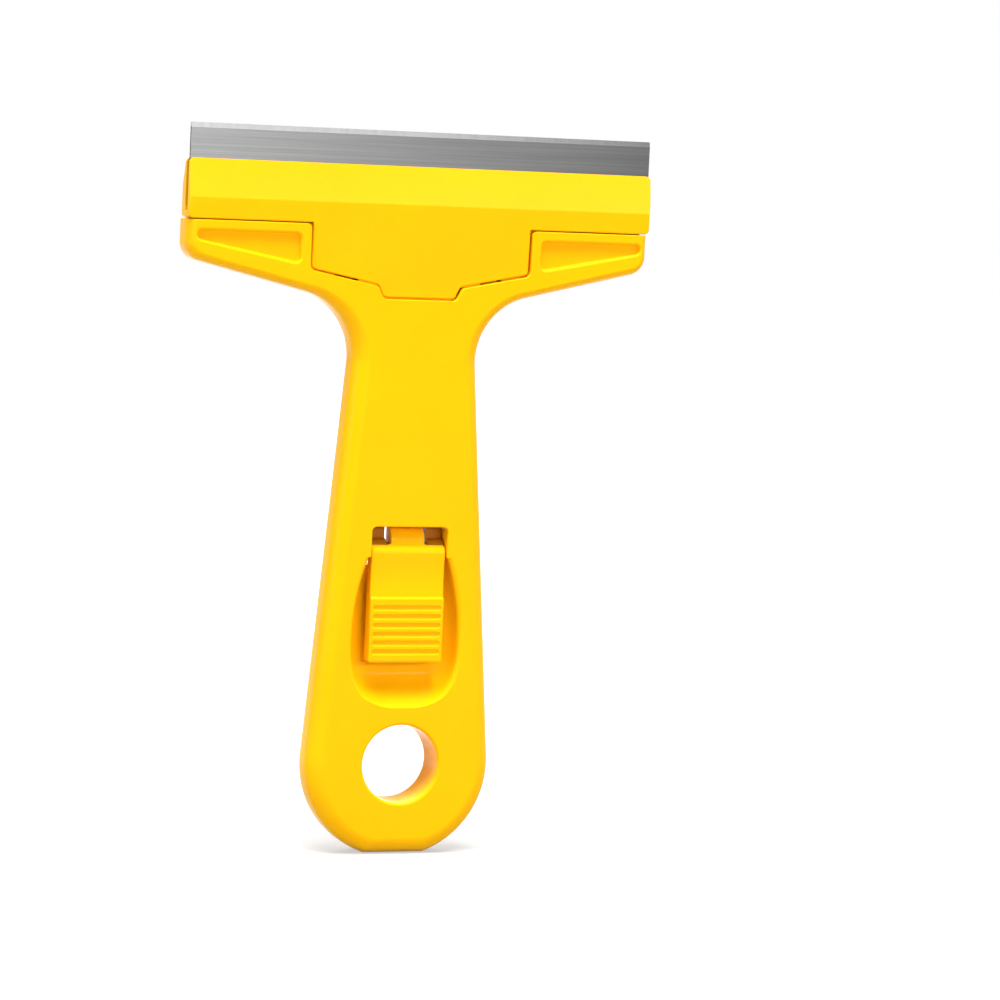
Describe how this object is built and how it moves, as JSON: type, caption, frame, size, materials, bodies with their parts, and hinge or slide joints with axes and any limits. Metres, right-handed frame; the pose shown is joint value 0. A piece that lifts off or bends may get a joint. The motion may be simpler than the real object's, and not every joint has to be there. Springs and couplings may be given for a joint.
{
  "type": "razor blade scraper",
  "caption": "Hand scraper with a straight replaceable blade in a clamp that a flip lever in the handle opens.",
  "frame": {"origin": "middle of the flat end of the handle, at half the thickness, in the plane of the blade", "axes": "+Z from the handle's end to the cutting edge, X along the blade, +Y to the back"},
  "size_m": [0.1004, 0.0098, 0.1507],
  "materials": {
    "yellow_plastic": "satin moulded",
    "zinc_steel": "plated",
    "blade_steel": "brushed along the blade, ground bevel"
  },
  "bodies": {
    "handle": {"handle_body": "yellow_plastic", "rear_cover": "yellow_plastic", "cover_screws": "zinc_steel", "return_spring": "zinc_steel"},
    "clamp": {"draw_bar": "yellow_plastic", "rear_jaw": "yellow_plastic", "jaw_pin": "zinc_steel", "lever_pin": "zinc_steel"},
    "lever": {"lever": "yellow_plastic"},
    "front_jaw": {"front_jaw": "yellow_plastic"},
    "blade": {"blade": "blade_steel"}
  },
  "joints": [
    {"name": "clamp_slide", "type": "slide", "parent": "handle", "child": "clamp", "axis": [0, 0, 1], "range_m": [0, 0.0014], "deforming": ["return_spring"]},
    {"name": "lever_swing", "type": "hinge", "parent": "clamp", "child": "lever", "pos_m": [0, -0.0012, 0.0646], "axis": [-1, 0, 0], "range_deg": [0, 60]},
    {"name": "jaw_rock", "type": "hinge", "parent": "clamp", "child": "front_jaw", "pos_m": [0, 0.00035, 0.121], "axis": [1, 0, 0], "range_deg": [0, 3]},
    {"name": "blade_lift", "type": "slide", "parent": "clamp", "child": "blade", "axis": [0, 0, 1], "range_m": [0, 0.0105]}
  ],
  "couplings": [
    {"joint": "lever_swing", "follows": "clamp_slide", "rad_per_m": 747.99},
    {"joint": "jaw_rock", "follows": "clamp_slide", "rad_per_m": 37.39}
  ]
}
